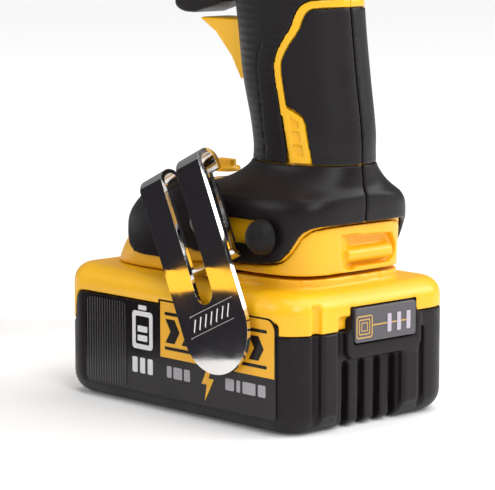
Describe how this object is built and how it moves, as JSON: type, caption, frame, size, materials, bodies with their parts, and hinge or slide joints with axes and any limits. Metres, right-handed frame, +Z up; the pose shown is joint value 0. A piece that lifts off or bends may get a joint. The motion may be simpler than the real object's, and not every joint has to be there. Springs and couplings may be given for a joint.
{
  "type": "brad nailer",
  "caption": "Cordless brad nailer standing on its slide battery, with a leaning pistol grip, chromed belt hook, barrel head, straight magazine and sliding contact trip.",
  "frame": {"origin": "centre of the battery pack's flat underside, on the surface that the tool stands on", "axes": "-X is the way the nails are driven, +Z is up, -Y is the side with the belt hook"},
  "size_m": [0.3217, 0.0815, 0.2719],
  "materials": {
    "yellow": "yellow moulded plastic",
    "black": "black moulded plastic",
    "rubber": "soft black overmould",
    "steel": "ground steel",
    "chrome": "bright chrome plate",
    "cast": "die cast light alloy",
    "copper": "wound copper and iron",
    "board": "potted circuit board",
    "grey": "dark grey plastic",
    "lens": "clear moulded lens",
    "cell": "wrapped battery cells"
  },
  "bodies": {
    "tool": {"arm_pin": "steel", "bearing_left": "steel", "bearing_right": "steel", "belt_hook": "chrome", "bumper_knob": "rubber", "control_board": "board", "depth_screw": "steel", "door_pin": "steel", "drive_frame": "cast", "driver_bumper": "rubber", "foot_cover_left": "rubber", "foot_cover_right": "rubber", "grip_front": "rubber", "grip_left": "rubber", "grip_right": "rubber", "guide_rod_left": "steel", "guide_rod_right": "steel", "head_cap": "black", "hook_boss": "black", "hook_screw": "steel", "housing_left": "yellow", "housing_right": "yellow", "magazine_end_cap": "rubber", "magazine_track": "cast", "motor_stator": "copper", "nail_strip": "steel", "nosepiece": "cast", "pusher_spring": "steel", "return_spring_left": "steel", "return_spring_right": "steel", "solenoid_body": "copper", "switch_module": "black", "terminal_block": "black", "trigger_spring": "steel", "trip_spring": "steel", "work_light": "lens"},
    "battery": {"battery_lower_case": "black", "battery_upper_case": "yellow", "cell_block": "cell", "charge_gauge": "grey", "button_spring": "steel"},
    "release": {"release_button": "yellow"},
    "trigger_lever": {"trigger": "black"},
    "trip": {"contact_trip": "steel", "trip_pad": "rubber"},
    "depth": {"depth_wheel": "black"},
    "selector": {"mode_selector": "yellow"},
    "driver": {"driver_blade": "steel"},
    "rotor": {"flywheel": "steel", "motor_shaft": "steel", "rotor_can": "cast"},
    "arm": {"roller_arm": "cast", "roller_pin": "steel"},
    "roller": {"pinch_roller": "steel"},
    "plunger": {"solenoid_plunger": "steel"},
    "feeder": {"pusher": "black"},
    "cover": {"magazine_cover": "black"},
    "cover_latch": {"magazine_latch": "yellow"},
    "door": {"nose_door": "cast"},
    "door_catch": {"door_latch": "steel"}
  },
  "joints": [
    {"name": "battery_slide", "type": "slide", "parent": "tool", "child": "battery", "axis": [1, 0, 0], "range_m": [0, 0.08]},
    {"name": "release_press", "type": "slide", "parent": "battery", "child": "release", "axis": [0, 0, -1], "range_m": [0, 0.001], "stiffness_N_per_m": 800, "springref_m": -0.004, "deforming": ["button_spring"]},
    {"name": "trigger_pull", "type": "slide", "parent": "tool", "child": "trigger_lever", "axis": [1, 0, 0], "range_m": [0, 0.007], "stiffness_N_per_m": 600, "springref_m": -0.004, "deforming": ["trigger_spring"]},
    {"name": "trip_press", "type": "slide", "parent": "tool", "child": "trip", "axis": [1, 0, 0], "range_m": [0, 0.008], "stiffness_N_per_m": 500, "springref_m": -0.01, "deforming": ["trip_spring"]},
    {"name": "depth_turn", "type": "hinge", "parent": "tool", "child": "depth", "pos_m": [-0.157, 0, 0.202], "axis": [1, 0, 0], "range_deg": [-180, 180]},
    {"name": "selector_turn", "type": "hinge", "parent": "tool", "child": "selector", "pos_m": [-0.014, 0, 0.08], "axis": [0, 0, 1], "range_deg": [0, 90]},
    {"name": "driver_stroke", "type": "slide", "parent": "tool", "child": "driver", "axis": [-1, 0, 0], "range_m": [0, 0.072], "stiffness_N_per_m": 300, "springref_m": -0.02, "deforming": ["return_spring_left", "return_spring_right"]},
    {"name": "rotor_spin", "type": "hinge", "parent": "tool", "child": "rotor", "pos_m": [-0.02, 0, 0.2056], "axis": [0, 1, 0], "continuous": true},
    {"name": "arm_press", "type": "hinge", "parent": "tool", "child": "arm", "pos_m": [0.014, 0, 0.245], "axis": [0, -1, 0], "range_deg": [0, 3], "stiffness_Nm_per_rad": 1, "springref_deg": -17.19},
    {"name": "roller_spin", "type": "hinge", "parent": "arm", "child": "roller", "pos_m": [-0.02, 0, 0.2382], "axis": [0, 1, 0], "continuous": true},
    {"name": "plunger_push", "type": "slide", "parent": "tool", "child": "plunger", "axis": [-1, 0, 0], "range_m": [0, 0.0006]},
    {"name": "pusher_slide", "type": "slide", "parent": "tool", "child": "feeder", "axis": [0, 0, -1], "range_m": [0, 0.085], "stiffness_N_per_m": 100, "springref_m": -0.03, "deforming": ["pusher_spring"]},
    {"name": "cover_slide", "type": "slide", "parent": "tool", "child": "cover", "axis": [0, 0, -1], "range_m": [0, 0.09]},
    {"name": "cover_latch_lift", "type": "hinge", "parent": "cover", "child": "cover_latch", "pos_m": [-0.194, 0.005, 0.08], "axis": [1, 0, 0], "range_deg": [0, 15], "stiffness_Nm_per_rad": 0.02, "springref_deg": -17.19},
    {"name": "door_swing", "type": "hinge", "parent": "tool", "child": "door", "pos_m": [-0.1605, 0, 0.244], "axis": [0, 1, 0], "range_deg": [0, 80]},
    {"name": "door_catch_turn", "type": "hinge", "parent": "tool", "child": "door_catch", "pos_m": [-0.236, 0, 0.2403], "axis": [0, -1, 0], "range_deg": [0, 60]}
  ],
  "couplings": [
    {"joint": "plunger_push", "follows": "arm_press", "m_per_rad": 0.011}
  ]
}
